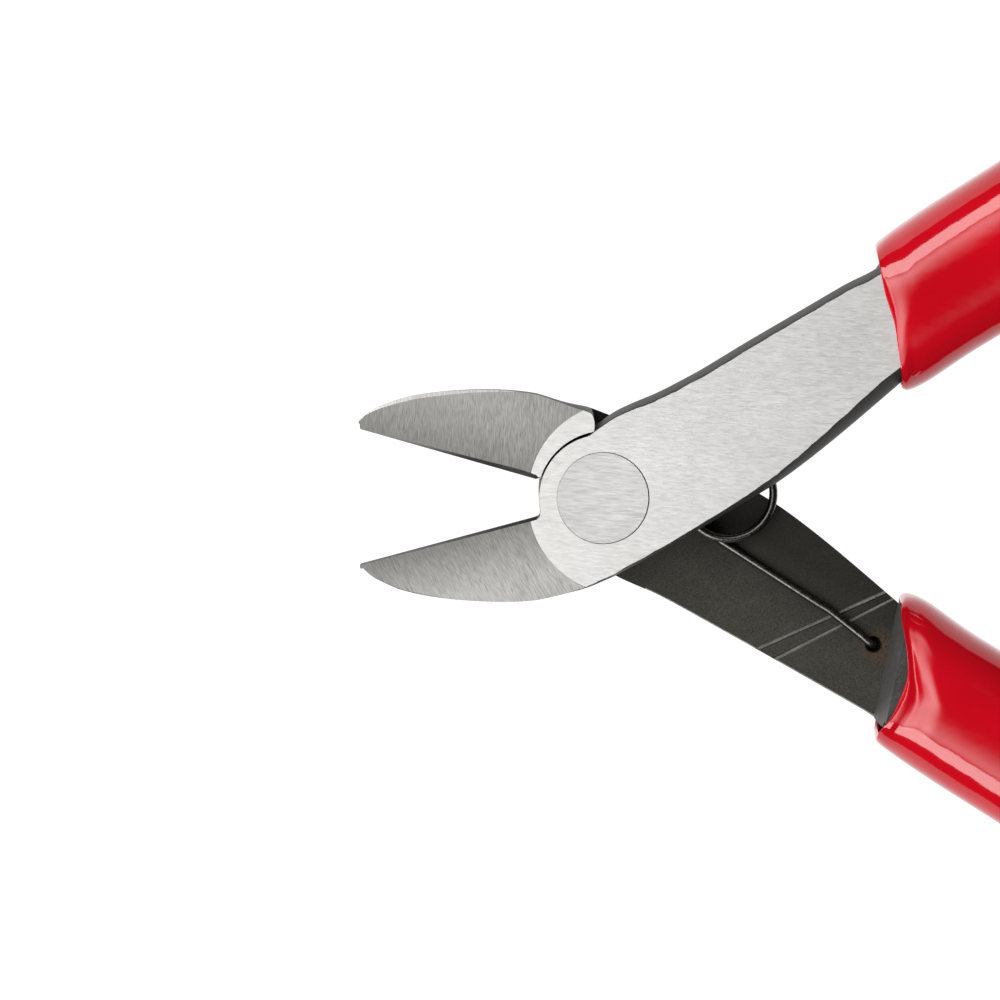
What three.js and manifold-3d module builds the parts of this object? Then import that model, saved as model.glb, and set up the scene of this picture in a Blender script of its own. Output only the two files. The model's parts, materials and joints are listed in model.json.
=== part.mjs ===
// Mini flush-cutting pliers: two identical half-lapped levers on one rivet, a torsion spring between
// the handles that holds the jaws open, and a dipped sleeve on each handle. Millimetres, +Z out of the
// front face, +X from the pivot towards the handles. The origin is the centre of the rivet's rear end.
//
// A lever is drawn in its own closed pose: its cutting edge lies on y = 0, its jaw points to -X below
// that line and its handle crosses above it. z = 0 is the plane that the two levers share. The second
// lever is the first one turned over about X, and so are its sleeve and its half of the spring.
import * as THREE from "three";
import { mergeVertices } from "three/addons/utils/BufferGeometryUtils.js";
import Module from "manifold-3d";

const wasm = await Module();
wasm.setup();

// Driving dimensions
const HALF_OPENING = THREE.MathUtils.degToRad(15.5); // each lever, from closed to the open stop
const HEAD_HALF = 3.25; // half the thickness of the head, jaws and shoulders
const LAP_HALF_GAP = 0.05; // from the shared plane to each lever's lap face
const RECESS = 1.05; // from the shared plane to the thin handle's inner face
const EDGE_CHAMFER = 0.35;
const FAR = 60; // longer than anything that it has to cut through

// Jaws
const TIP_X = -16.9;
const JAW_ROOT = [-4.7, -0.02];
const JAW_HEEL = [-3.2, -5.58];
const EDGE_Y = JAW_ROOT[1]; // half the gap left between the closed cutting edges
const EDGE_DROP = 0.35; // the cutting edge lies this far under the front face
const FRONT_BEVEL = 0.35; // across the jaw's face, at 45 degrees
const REAR_RELIEF_START = 0.12; // below the cutting edge
const REAR_RELIEF_SLOPE = 0.44; // across the jaw for each millimetre down
const TAPER_CENTRE = [1.2, -0.5];
const TAPER_RADIUS = 6.25; // the ground taper starts on this circle and runs out to the tip
const TAPER_END = 19;
const FRONT_TAPER_DROP = 0.95;
const REAR_TAPER_DROP = 2.7;

// Pivot
const BOSS_R = 4.25;
const BOSS_ARC = [0.489 * Math.PI, 0.978 * Math.PI]; // from the handle's outer edge to the jaw's root
const BOSS_CLEARANCE_R = 4.38; // the other lever's shoulder runs round the boss on this radius
const BOSS_CLEARANCE_ARC = [1.024 * Math.PI, 1.34 * Math.PI];
const LAP_PAD_R = 4.7; // the lap face round the rivet; the thin handle is recessed outside it
const RIVET_SHANK_R = 2.2;
const RIVET_HEAD_R = 3.05;
const RIVET_HEAD_DEPTH = 0.95;
const RIVET_GAP = 0.05;

// Handles
const SHOULDER_LOW = [21.0, 0]; // the full-thickness tang starts on the line through these two points
const SHOULDER_HIGH = [21.6, 10];
const TANG_STEP_X = 24.4; // past here the tang is thinner inside its sleeve
const TANG_HALF = 2.5;
const TANG_END = [80.2, 13.2];
const TANG_END_R = 2.6;
const TANG_END_ARC = [-0.54 * Math.PI, 0.46 * Math.PI];

// Sleeves: centre line and half sizes from the mouth to the closed end
const SLEEVE_GAP = 0.2;
const SLEEVE_STATIONS = [
  { x: 19.6, y: 5.6, width: 4.66, thickness: 4.3 },
  { x: 29.8, y: 8.7, width: 4.95, thickness: 4.45 },
  { x: 45, y: 12.6, width: 5.2, thickness: 4.5 },
  { x: 60, y: 14.2, width: 5.05, thickness: 4.4 },
  { x: 75, y: 13.8, width: 4.7, thickness: 4.25 },
  { x: 90, y: 12, width: 4.2, thickness: 3.95 },
  { x: 98.8, y: 10.8, width: 3.9, thickness: 3.7 },
];
const SLEEVE_ROUND_END = 0.045; // share of the sleeve's length in its rounded end
const SLEEVE_END_FLAT = 0.003; // square of the share of the width that stays flat at the very end
const SLEEVE_SQUARENESS = [4, 2.6]; // superellipse exponent at the mouth and along the rest
const SLEEVE_SQUARE_SHARE = 0.2;
const MOUTH_LOW = [21.2, 1.46];
const MOUTH_HIGH = [21.96, 10.93];
const MOUTH_HOLLOW_CENTRE = [14.7, 6.7]; // the mouth's rear side is cut back round this centre
const MOUTH_HOLLOW_R = 8;
const MOUTH_HOLLOW_TOP = -1.5;

// Spring
const WIRE_R = 0.275;
const COIL_R = 3;
const COIL_X = 8.4; // coil centre on the tool's axis in the open pose
const COIL_TURNS = 2.3; // wraps of the whole spring, both halves
const LEG_Z = 0.75; // each leg's distance from the shared plane
const HOLE_RADIUS_FROM_PIVOT = 20.85;
const HOLE_ANGLE = THREE.MathUtils.degToRad(29.5); // in the open pose
const HOLE_R = 0.55;
const HOLE_DEPTH = 1.3;
const HOOK_DEPTH = 1.05; // how far the bent end of the wire stands in its hole
const HOOK_BEND = 0.5;
const COIL_HALF_GAP = THREE.MathUtils.degToRad(3); // left open where the two halves meet
const POCKET_CENTRE = [7, 0]; // coil centre in the closed pose
const POCKET_R = 3.6;

// Solids and booleans

function solid(geometry) {
  const bare = geometry.clone();
  bare.deleteAttribute("normal");
  bare.deleteAttribute("uv");
  const merged = mergeVertices(bare, 1e-4);
  const vertProperties = new Float32Array(merged.attributes.position.array);
  const triVerts = new Uint32Array(merged.index.array);
  return new wasm.Manifold(new wasm.Mesh({ numProp: 3, vertProperties, triVerts }));
}

function geometryOf(manifold) {
  const mesh = manifold.getMesh();
  const geometry = new THREE.BufferGeometry();
  geometry.setAttribute("position", new THREE.BufferAttribute(mesh.vertProperties, 3));
  geometry.setIndex(new THREE.BufferAttribute(mesh.triVerts, 1));
  return geometry;
}

function prism(shape, low, high, curveSegments = 4) {
  const depth = high - low;
  const geometry = new THREE.ExtrudeGeometry(shape, { depth, bevelEnabled: false, curveSegments });
  return solid(geometry.translate(0, 0, low));
}

function block(x, y, z) {
  const size = [x, y, z].map(([low, high]) => high - low);
  const centre = [x, y, z].map(([low, high]) => (low + high) / 2);
  return solid(new THREE.BoxGeometry(...size).translate(...centre));
}

function drum(radius, [x, y], low, high, sides = 40) {
  const geometry = new THREE.CylinderGeometry(radius, radius, high - low, sides);
  return solid(geometry.rotateX(Math.PI / 2).translate(x, y, (low + high) / 2));
}

// A wedge of triangular section, drawn as [y, z] points, that follows the line from start to end.
function wedge(section, start, end) {
  const along = new THREE.Vector3().subVectors(end, start);
  const shape = new THREE.Shape(section.map(([y, z]) => new THREE.Vector2(y, z)));
  const geometry = new THREE.ExtrudeGeometry(shape, { depth: 1, bevelEnabled: false });
  const frame = new THREE.Matrix4().makeBasis(
    new THREE.Vector3(0, 1, 0),
    new THREE.Vector3(0, 0, 1),
    along,
  );
  frame.setPosition(start);
  return solid(geometry.applyMatrix4(frame));
}

const polar = (radius, angle, [x, y] = [0, 0]) => [
  x + radius * Math.cos(angle),
  y + radius * Math.sin(angle),
];
const vectors = (points) => points.map(([x, y]) => new THREE.Vector2(x, y));

const mirrorFor = (face, cutter) => (face > 0 ? cutter : cutter.mirror([0, 0, 1]));

// Lever. Both jaws are ground from the tool's front, which is face +1 on the front lever's own z axis
// and face -1 on the rear lever's.

// The jaw seen from the front: tip, back, and inside the boss to the root of the cutting edge.
function jawOutline() {
  const shape = new THREE.Shape();
  shape.moveTo(TIP_X + 0.25, EDGE_Y);
  shape.quadraticCurveTo(TIP_X - 0.03, -0.1, TIP_X + 0.1, -0.5);
  shape.splineThru(
    vectors([
      [-16.15, -1.4],
      [-14.8, -2.4],
      [-12.6, -3.52],
      [-9.6, -4.62],
      [-6.5, -5.36],
      JAW_HEEL,
    ]),
  );
  shape.lineTo(0, 0);
  shape.lineTo(...polar(BOSS_R, BOSS_ARC[1]));
  shape.lineTo(...JAW_ROOT);
  return shape;
}

// The rest of the lever: inner edge of the handle, tang, outer edge and boss.
function handleOutline() {
  const shape = new THREE.Shape();
  shape.moveTo(...JAW_HEEL);
  shape.splineThru(
    vectors([
      [-0.7, -5.4],
      [3.4, -4.5],
      [8.8, -3.05],
      [11.8, -2.2],
      [15.5, -0.72],
      [20.3, 1.5],
      [23.6, 2.95],
      [30.85, 5.15],
      [45.6, 9.15],
      [60.1, 11],
      polar(TANG_END_R, TANG_END_ARC[0], TANG_END),
    ]),
  );
  shape.absarc(...TANG_END, TANG_END_R, ...TANG_END_ARC);
  shape.splineThru(
    vectors([
      [75.2, 16.6],
      [59.9, 17.4],
      [44.4, 16.05],
      [28.75, 12.1],
      [20.84, 9.5],
      [13.7, 7.69],
      [6.57, 5.93],
      [2.4, 5.2],
      [0.9, 4.64],
      polar(BOSS_R, BOSS_ARC[0]),
    ]),
  );
  shape.absarc(0, 0, BOSS_R, ...BOSS_ARC);
  return shape;
}

// Everything behind the lap face: round the boss, past the end of the jaw's shoulder, to the tang. It
// runs past the lever's edges on both sides.
function lapOutline() {
  const [below, above] = [-6.5, 12];
  const shape = new THREE.Shape();
  shape.moveTo(-4.85, above);
  shape.lineTo(-4.85, 0);
  shape.lineTo(-4.37, -0.33);
  shape.absarc(0, 0, BOSS_CLEARANCE_R, ...BOSS_CLEARANCE_ARC);
  shape.lineTo(-1.86, -4.3);
  shape.lineTo(-1.95, -4.85);
  shape.lineTo(-2.7, below);
  shape.lineTo(SHOULDER_LOW[0], below);
  shape.lineTo(...SHOULDER_LOW);
  shape.lineTo(...SHOULDER_HIGH);
  shape.lineTo(SHOULDER_HIGH[0], above);
  return shape;
}

// The full-thickness lever before its cuts, or the space that it needs when grow is more than 0.
function blank(grow) {
  const half = HEAD_HALF + grow;
  const geometry = new THREE.ExtrudeGeometry(handleOutline(), {
    depth: 2 * (half - EDGE_CHAMFER),
    bevelThickness: EDGE_CHAMFER,
    bevelSize: EDGE_CHAMFER,
    bevelOffset: grow - EDGE_CHAMFER,
    bevelSegments: 1,
    curveSegments: 4,
  });
  const thin = TANG_HALF + grow;
  const past = [TANG_STEP_X + grow, 2 * FAR];
  return solid(geometry.translate(0, 0, EDGE_CHAMFER - half))
    .add(prism(jawOutline(), -half, half))
    .subtract(block(past, [-FAR, FAR], [thin, FAR]))
    .subtract(block(past, [-FAR, FAR], [-FAR, -thin]));
}

// Takes the taper off one face of the jaw: a cone about the pivot that is deepest at the tip.
function taperCut(face, drop) {
  const profile = [
    [TAPER_RADIUS, HEAD_HALF],
    [TAPER_END, HEAD_HALF - drop],
    [TAPER_END, HEAD_HALF + 1],
    [TAPER_RADIUS, HEAD_HALF + 1],
    [TAPER_RADIUS, HEAD_HALF],
  ];
  const ring = new THREE.LatheGeometry(vectors(profile), 96).rotateX(Math.PI / 2);
  ring.translate(...TAPER_CENTRE, 0);
  return mirrorFor(face, solid(ring).intersect(block([-FAR, 0], [-FAR, FAR], [-FAR, FAR])));
}

// The small front bevel and the long rear relief that meet in the cutting edge. Each runs a little past
// the jaw's outside, past its tip and past its root, and is then kept clear of the boss.
function edgeCut(face) {
  const past = 1;
  const slope = FRONT_TAPER_DROP / (TAPER_END - TAPER_RADIUS);
  const taperStart = TAPER_CENTRE[0] - TAPER_RADIUS;
  const edge = (x) => HEAD_HALF - EDGE_DROP - slope * Math.max(0, taperStart - x);
  const root = new THREE.Vector3(taperStart + 2 * past, EDGE_Y, edge(taperStart));
  const tip = new THREE.Vector3(TIP_X - past, EDGE_Y, edge(TIP_X - past));
  const above = EDGE_DROP - FRONT_BEVEL;
  const front = [
    [past, above - past],
    [past, above + 2 * past],
    [-2 * past, above + 2 * past],
  ];
  const under = 2 * HEAD_HALF;
  const rear = [
    [0, -REAR_RELIEF_START],
    [-REAR_RELIEF_SLOPE * (under - REAR_RELIEF_START), -under],
    [past, -under],
    [past, -REAR_RELIEF_START],
  ];
  const jawOnly = block([-FAR, -BOSS_CLEARANCE_R], [-FAR, past], [-FAR, FAR]);
  return mirrorFor(face, wedge(rear, tip, root).add(wedge(front, tip, root)).intersect(jawOnly));
}

// The recess that thins the handle and leaves room for the spring, outside the lap pad.
function recessCut() {
  return prism(lapOutline(), -FAR, RECESS, 10)
    .subtract(drum(LAP_PAD_R, [0, 0], -2 * FAR, FAR))
    .add(drum(POCKET_R, POCKET_CENTRE, -FAR, RECESS));
}

function leverGeometry(face) {
  const hole = polar(HOLE_RADIUS_FROM_PIVOT, HOLE_ANGLE - HALF_OPENING);
  const headSeat = HEAD_HALF - RIVET_HEAD_DEPTH - RIVET_GAP;
  const lever = blank(0)
    .subtract(taperCut(face, FRONT_TAPER_DROP))
    .subtract(taperCut(-face, REAR_TAPER_DROP))
    .subtract(edgeCut(face))
    .subtract(prism(lapOutline(), -FAR, LAP_HALF_GAP, 10))
    .subtract(recessCut())
    .subtract(drum(RIVET_SHANK_R + RIVET_GAP, [0, 0], -FAR, FAR))
    .subtract(drum(RIVET_HEAD_R + RIVET_GAP, [0, 0], headSeat, FAR))
    .subtract(drum(HOLE_R, hole, 0, RECESS + HOLE_DEPTH, 16));
  return geometryOf(lever);
}

// Pivot rivet: a shank with a flush head in each lever.

function rivetGeometry() {
  const shoulder = HEAD_HALF - RIVET_HEAD_DEPTH;
  const profile = [
    [0, -HEAD_HALF],
    [RIVET_HEAD_R, -HEAD_HALF],
    [RIVET_HEAD_R, -shoulder],
    [RIVET_SHANK_R, -shoulder],
    [RIVET_SHANK_R, shoulder],
    [RIVET_HEAD_R, shoulder],
    [RIVET_HEAD_R, HEAD_HALF],
    [0, HEAD_HALF],
  ];
  return new THREE.LatheGeometry(vectors(profile), 40).rotateX(Math.PI / 2);
}

// Handle sleeve

// A rounded bar that follows the handle's centre line, made by bending a cylinder.
function sleeveBar() {
  const centres = SLEEVE_STATIONS.map(({ x, y }) => new THREE.Vector3(x, y, 0));
  const sizes = SLEEVE_STATIONS.map(({ width, thickness }) => new THREE.Vector3(width, thickness, 0));
  const centreLine = new THREE.CatmullRomCurve3(centres);
  const sizeLine = new THREE.CatmullRomCurve3(sizes);
  const geometry = new THREE.CylinderGeometry(1, 1, 1, 28, 44);
  const position = geometry.attributes.position;
  const superellipse = (value, exponent) => Math.sign(value) * Math.abs(value) ** (2 / exponent);
  for (let i = 0; i < position.count; i += 1) {
    const share = 0.5 - position.getY(i);
    const centre = centreLine.getPoint(share);
    const tangent = centreLine.getTangent(share);
    const size = sizeLine.getPoint(share);
    const square = Math.min(1, share / SLEEVE_SQUARE_SHARE);
    const exponent = THREE.MathUtils.lerp(...SLEEVE_SQUARENESS, square);
    const intoEnd = Math.max(0, (share - 1 + SLEEVE_ROUND_END) / SLEEVE_ROUND_END);
    const closing = Math.sqrt(Math.max(SLEEVE_END_FLAT, 1 - intoEnd ** 2));
    const across = superellipse(position.getX(i), exponent) * size.x * closing;
    const up = superellipse(position.getZ(i), exponent) * size.y * closing;
    position.setXYZ(i, centre.x - tangent.y * across, centre.y + tangent.x * across, up);
  }
  return solid(geometry);
}

// The bar, cut off along the mouth's line, hollowed at the mouth's rear side and round the tang.
function sleeveGeometry() {
  const low = new THREE.Vector2(...MOUTH_LOW);
  const high = new THREE.Vector2(...MOUTH_HIGH);
  const start = low.clone().multiplyScalar(2).sub(high);
  const end = high.clone().multiplyScalar(2).sub(low);
  const mouth = new THREE.Shape([start, end, new THREE.Vector2(0, end.y), new THREE.Vector2(0, start.y)]);
  const sleeve = sleeveBar()
    .subtract(prism(mouth, -FAR, FAR))
    .subtract(drum(MOUTH_HOLLOW_R, MOUTH_HOLLOW_CENTRE, -FAR, MOUTH_HOLLOW_TOP, 48))
    .subtract(blank(SLEEVE_GAP));
  return geometryOf(sleeve);
}

// Spring: each half is a hooked end in its lever's hole, a straight leg, and half of the coil.

class Helix extends THREE.Curve {
  constructor(centre, radius, from, to, drop) {
    super();
    Object.assign(this, { centre, radius, from, to, drop });
  }

  getPoint(share, target = new THREE.Vector3()) {
    const angle = THREE.MathUtils.lerp(this.from, this.to, share);
    const x = this.centre.x + this.radius * Math.cos(angle);
    const y = this.centre.y + this.radius * Math.sin(angle);
    return target.set(x, y, this.centre.z - this.drop * share);
  }
}

function springArmGeometry() {
  const hole = new THREE.Vector3(...polar(HOLE_RADIUS_FROM_PIVOT, HOLE_ANGLE), LEG_Z);
  const coil = new THREE.Vector3(COIL_X, 0, LEG_Z);
  const toHole = new THREE.Vector3().subVectors(hole, coil);
  const tangentAngle = Math.atan2(toHole.y, toHole.x) + Math.acos(COIL_R / toHole.length());
  const halfWrap = Math.PI * COIL_TURNS - COIL_HALF_GAP;
  const drop = (LEG_Z * halfWrap) / (Math.PI * COIL_TURNS);
  const helix = new Helix(coil, COIL_R, tangentAngle, tangentAngle + halfWrap, drop);
  const tangentPoint = helix.getPoint(0);
  const alongLeg = new THREE.Vector3().subVectors(tangentPoint, hole).normalize();
  const hookTop = hole.clone().setZ(RECESS + HOOK_DEPTH);
  const bendTop = hole.clone().setZ(LEG_Z + HOOK_BEND);
  const bendEnd = hole.clone().addScaledVector(alongLeg, HOOK_BEND);
  const path = new THREE.CurvePath();
  path.add(new THREE.LineCurve3(hookTop, bendTop));
  path.add(new THREE.QuadraticBezierCurve3(bendTop, hole, bendEnd));
  path.add(new THREE.LineCurve3(bendEnd, tangentPoint));
  path.add(helix);
  const section = new THREE.Shape().absarc(0, 0, WIRE_R, 0, 2 * Math.PI);
  return new THREE.ExtrudeGeometry(section, { extrudePath: path, steps: 84, curveSegments: 4 });
}

// Materials and assembly

const finish = (color, roughness, metalness) =>
  new THREE.MeshStandardMaterial({ color, roughness, metalness });
const groundSteel = finish(0xc9cac8, 0.35, 0.9);
const blackSteel = finish(0x4a4a48, 0.55, 0.6);
const rivetSteel = finish(0xd2d2d0, 0.3, 0.95);
const springWire = finish(0x1c1b1a, 0.35, 0.8);
const redVinyl = finish(0xc4121c, 0.25, 0);

function mesh(name, geometry, material) {
  const made = new THREE.Mesh(geometry, material);
  made.name = name;
  return made;
}

const sleeve = sleeveGeometry();
const springArm = springArmGeometry();

// One lever with its sleeve and its half of the spring, as they stand in the open pose.
function side(name, face, steel) {
  const swung = new THREE.Group();
  swung.rotation.z = HALF_OPENING;
  swung.add(mesh(`${name}_lever`, leverGeometry(face), steel));
  swung.add(mesh(`${name}_grip`, sleeve, redVinyl));
  const group = new THREE.Group();
  group.add(swung, mesh(`spring_${name}_arm`, springArm, springWire));
  return group;
}

const front = side("front", 1, groundSteel);
const rear = side("rear", -1, blackSteel);
rear.rotation.x = Math.PI;

const assembly = new THREE.Group();
assembly.position.z = HEAD_HALF;
assembly.add(front, rear, mesh("pivot_rivet", rivetGeometry(), rivetSteel));

const flushCutter = new THREE.Group();
flushCutter.add(assembly);

export default flushCutter;
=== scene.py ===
"""Looks of the mini flush cutter: ground and blackened steel levers, rivet, wire spring, vinyl sleeves.

Shapes are drawn in millimetres in a lever's own closed pose, as on the CAD side: its cutting edge lies on
y = 0, its jaw points to -X, and z = 0 is the plane that the two levers share. place() swings a finished
shape to the open pose, turns it over for the rear lever, and scales it to metres.
"""

import json
import math

import bpy
import bmesh
import numpy as np
from mathutils import Matrix, Vector


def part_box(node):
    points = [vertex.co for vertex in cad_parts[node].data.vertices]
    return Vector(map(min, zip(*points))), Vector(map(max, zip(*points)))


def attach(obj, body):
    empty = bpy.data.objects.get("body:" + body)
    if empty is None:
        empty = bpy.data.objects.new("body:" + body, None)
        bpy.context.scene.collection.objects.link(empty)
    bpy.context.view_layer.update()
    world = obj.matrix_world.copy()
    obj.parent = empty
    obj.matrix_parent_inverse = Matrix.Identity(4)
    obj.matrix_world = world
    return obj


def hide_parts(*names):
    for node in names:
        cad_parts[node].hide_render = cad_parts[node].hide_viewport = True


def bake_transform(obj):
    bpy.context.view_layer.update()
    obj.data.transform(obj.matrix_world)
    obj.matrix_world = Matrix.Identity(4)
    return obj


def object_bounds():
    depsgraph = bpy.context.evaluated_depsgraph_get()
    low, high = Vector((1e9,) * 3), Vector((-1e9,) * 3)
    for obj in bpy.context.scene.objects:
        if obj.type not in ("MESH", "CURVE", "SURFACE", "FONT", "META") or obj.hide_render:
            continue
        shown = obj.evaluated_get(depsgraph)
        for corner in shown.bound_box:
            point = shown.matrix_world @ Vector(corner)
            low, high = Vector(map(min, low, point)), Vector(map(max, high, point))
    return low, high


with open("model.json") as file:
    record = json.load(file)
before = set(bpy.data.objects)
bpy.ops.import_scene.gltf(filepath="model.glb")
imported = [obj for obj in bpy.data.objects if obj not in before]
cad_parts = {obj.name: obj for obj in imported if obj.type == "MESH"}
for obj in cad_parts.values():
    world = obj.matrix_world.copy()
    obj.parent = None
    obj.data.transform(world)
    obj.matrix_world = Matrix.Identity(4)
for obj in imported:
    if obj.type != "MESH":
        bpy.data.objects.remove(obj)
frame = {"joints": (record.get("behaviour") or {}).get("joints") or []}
CAD_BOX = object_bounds()
MM = 0.001

# Sizes from the frame, in millimetres
JOINTS = {joint["name"]: joint for joint in frame["joints"]}
RIVET_LOW, RIVET_HIGH = (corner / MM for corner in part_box("pivot_rivet"))
HEAD_HALF = (RIVET_HIGH.z - RIVET_LOW.z) / 2
MID_Z = (RIVET_HIGH.z + RIVET_LOW.z) / 2
RIVET_R = (RIVET_HIGH.x - RIVET_LOW.x) / 2
HALF_OPENING = math.radians(JOINTS["jaw_pivot"]["range_deg"][1]) / 2
COIL = Vector(JOINTS["spring_coil"]["pos_m"]) / MM
HOOK = Vector(JOINTS["spring_front_hook"]["pos_m"]) / MM

# Levers, in millimetres
EDGE_Y = -0.02
BOSS_R = 4.25
BOSS_CLEARANCE_R = 4.38
LAP_GAP = 0.05
LAP_PAD_R = 4.7
RECESS = 1.05
POCKET_CENTRE, POCKET_R = (7.0, 0.0), 3.6
HOLE_R, HOLE_DEPTH = 0.5, 1.3
SHOULDER_LOW, SHOULDER_HIGH = (20.95, 0.0), (21.55, 10.0)
SHOULDER_RAMP = 0.75
TANG_STEP_FRONT, TANG_STEP_REAR, TANG_HALF = 22.1, 23.3, 2.5
TAPER_CENTRE, TAPER_R, TAPER_END = (1.2, -0.5), 6.25, 19.0
FRONT_DROP, REAR_DROP = 0.95, 2.7
JAW_ROOT = (-4.75, EDGE_Y)
TIP_X = -16.9
BEYOND = 12.0  # farther than anything that has to be cut through

# Spring, in millimetres
WIRE_R = 0.275
COIL_R = 3.0
COIL_TURNS = 2  # full turns, besides the part turn between the legs
LEG_Z = 0.75
LEG_KINK = 0.28
HOOK_BEND = 0.5
HOOK_DEPTH = 1.05

# Sleeves, in millimetres: centre line and half sizes from the mouth to the closed end
SLEEVE_STATIONS = (
    (19.6, 5.6, 4.66, 4.6),
    (29.8, 8.7, 4.95, 4.45),
    (45, 12.6, 5.2, 4.5),
    (60, 14.2, 5.05, 4.4),
    (75, 13.8, 4.7, 4.25),
    (90, 12, 4.2, 3.95),
    (98.8, 10.8, 3.9, 3.7),
)
SLEEVE_LENGTH = 82.5
SLEEVE_WALL = 0.6
SLEEVE_DOME = 0.955  # share of the length where the closed end begins to round off
MOUTH_EXPONENT, BODY_EXPONENT = 3.2, 2.6  # of the superellipse that is the sleeve's section
MOUTH_LOW, MOUTH_HIGH = (21.2, 1.46), (21.68, 10.93)
MOUTH_BOW, MOUTH_BOW_Y, MOUTH_BOW_SPREAD = 0.3, 6.2, 3.6
MOUTH_HOLLOW_CENTRE, MOUTH_HOLLOW_R = (14.7, 6.7), 8.0
MOUTH_LIP = 0.36
SLEEVE_SHIFT = {"front": 0.0, "rear": -0.15}  # each dipped grip sits a little differently on its handle
SLEEVE_BULGE = {"front": 0.2, "rear": 0.32}  # of the side that faces the other lever, near the mouth

# Studio: two strip lights and a glow in the sky above each, angles in degrees, lengths in metres
STRIP_AZIMUTHS = (123, 237)
STRIP_ELEVATION = 41.5
STRIP_DISTANCE, STRIP_LENGTH, STRIP_WIDTH, STRIP_POWER = 0.6, 0.46, 0.24, 2.6
SKY = 0.06
GLOW = 3.0
GLOW_RISE, GLOW_FALL = (50, 60), (60, 86)
GLOW_SIDE = (0.25, 0.6)
CAMERA_TILT, CAMERA_DISTANCE, VIEW_WIDTH = 5.75, 0.9, 0.0667
CAMERA_AIM = (-6.83, -0.45)  # millimetres

# ---------------------------------------------------------------- materials


class Nodes:
    """Short way to write a material's nodes."""

    def __init__(self, name):
        self.material = bpy.data.materials.new(name)
        self.material.use_nodes = True
        self.tree = self.material.node_tree
        self.shader = self.tree.nodes["Principled BSDF"]

    def add(self, kind, inputs=None, **settings):
        node = self.tree.nodes.new(f"ShaderNode{kind}")
        for key, value in settings.items():
            setattr(node, key, value)
        for key, value in (inputs or {}).items():
            self.plug(node.inputs[key], value)
        return node

    def plug(self, socket, value):
        if isinstance(value, bpy.types.NodeSocket):
            self.tree.links.new(value, socket)
        else:
            socket.default_value = value

    def set(self, **inputs):
        for key, value in inputs.items():
            self.plug(self.shader.inputs[key.replace("_", " ")], value)

    def position(self, turn=0.0, scale=(1, 1, 1), offset=(0, 0, 0)):
        """Object coordinates in millimetres, turned about Z so that X runs along a brush direction."""
        point = self.add("TexCoord").outputs["Object"]
        spun = self.add("Mapping", {"Vector": point, "Rotation": (0, 0, -turn), "Scale": (1000,) * 3})
        scaled = self.add("Mapping", {"Vector": spun.outputs[0], "Location": offset, "Scale": scale})
        return scaled.outputs[0]

    def noise(self, vector, scale=1.0, detail=2.0, roughness=0.5):
        inputs = {"Vector": vector, "Scale": scale, "Detail": detail, "Roughness": roughness}
        return self.add("TexNoise", inputs).outputs["Fac"]

    def fit(self, value, low, high, to_low, to_high):
        names = ("From Min", "From Max", "To Min", "To Max")
        inputs = dict(zip(names, (low, high, to_low, to_high)))
        return self.add("MapRange", {"Value": value, **inputs}).outputs["Result"]

    def math(self, operation, a, b=0.0):
        node = self.add("Math", operation=operation)
        self.plug(node.inputs[0], a)
        self.plug(node.inputs[1], b)
        return node.outputs[0]

    def mix(self, fac, a, b, blend="MIX"):
        node = self.add("Mix", data_type="RGBA", blend_type=blend)
        for socket, value in zip((node.inputs[0], node.inputs[6], node.inputs[7]), (fac, a, b)):
            self.plug(socket, (*value, 1) if isinstance(value, tuple) and len(value) == 3 else value)
        return node.outputs[2]

    def shade(self, colour, painted_shades):
        """Painted shade: darkens the colour along straight runs: (turn, start, end, shade at start, shade at
        end), lengths in mm.
        """
        for turn, *ends in painted_shades:
            place_on = self.add("SeparateXYZ", {"Vector": self.position(turn)}).outputs["X"]
            shade = self.fit(place_on, *ends)
            grey = self.add("CombineXYZ", {axis: shade for axis in "XYZ"}).outputs[0]
            colour = self.mix(1.0, colour, grey, "MULTIPLY")
        return colour

    def bump(self, height, strength, distance_mm):
        inputs = {"Height": height, "Strength": strength, "Distance": distance_mm * MM}
        self.set(Normal=self.add("Bump", inputs).outputs[0])


def brushed_steel(name, tone, turn, contrast, length=0.7, width=0.06, roughness=0.42, wear=0.0, painted_shades=()):
    """Ground steel: short fine scratches laid along one direction, over slower bands of tone."""
    m = Nodes(name)

    def scratches(skew, longer, closer, offset, detail, rough=0.5):
        place_on = m.position(turn + skew, (longer / length, closer / width, 1), offset)
        return m.noise(place_on, 1, detail, rough)

    fine = scratches(0, 1, 1, (0, 0, 0), 3, 0.65)
    crossed = scratches(0.16, 1.3, 0.8, (3, 7, 1), 3, 0.6)
    cloud = m.noise(m.position(0, (0.16, 0.22, 0.2), (9, 2, 4)), 1, 2)
    nick = scratches(-0.12, 1.1, 1.2, (5, 1, 8), 1)
    gleam = scratches(0.05, 1.0, 1.1, (1, 9, 5), 1)
    tones = m.math("ADD", m.math("MULTIPLY", fine, 0.55), m.math("MULTIPLY", crossed, 0.45))
    low, high = (tuple(c * (1 + s * contrast) for c in tone) for s in (-1, 1))
    colour = m.mix(m.fit(tones, 0.38, 0.62, 0, 1), low, high)
    clouded = m.mix(1.0, colour, (0.94, 0.935, 0.93), "MULTIPLY")
    colour = m.mix(m.fit(cloud, 0.3, 0.7, 0, 1), colour, clouded)
    dark, bright = (tuple(min(1, c * k) for c in tone) for k in (1 - 2.2 * contrast, 1 + 1.8 * contrast))
    colour = m.mix(m.fit(nick, 0.6, 0.72, 0, 0.6 + wear), colour, dark)
    colour = m.mix(m.fit(gleam, 0.62, 0.74, 0, 0.6), colour, bright)
    # Painted shade: the colour is darkened along the given straight runs
    colour = m.shade(colour, painted_shades)
    m.set(Base_Color=colour, Metallic=1.0,
          Roughness=m.fit(tones, 0.3, 0.7, roughness - 0.06, roughness + 0.06))
    m.bump(tones, 0.5, 0.006)
    return m.material


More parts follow.
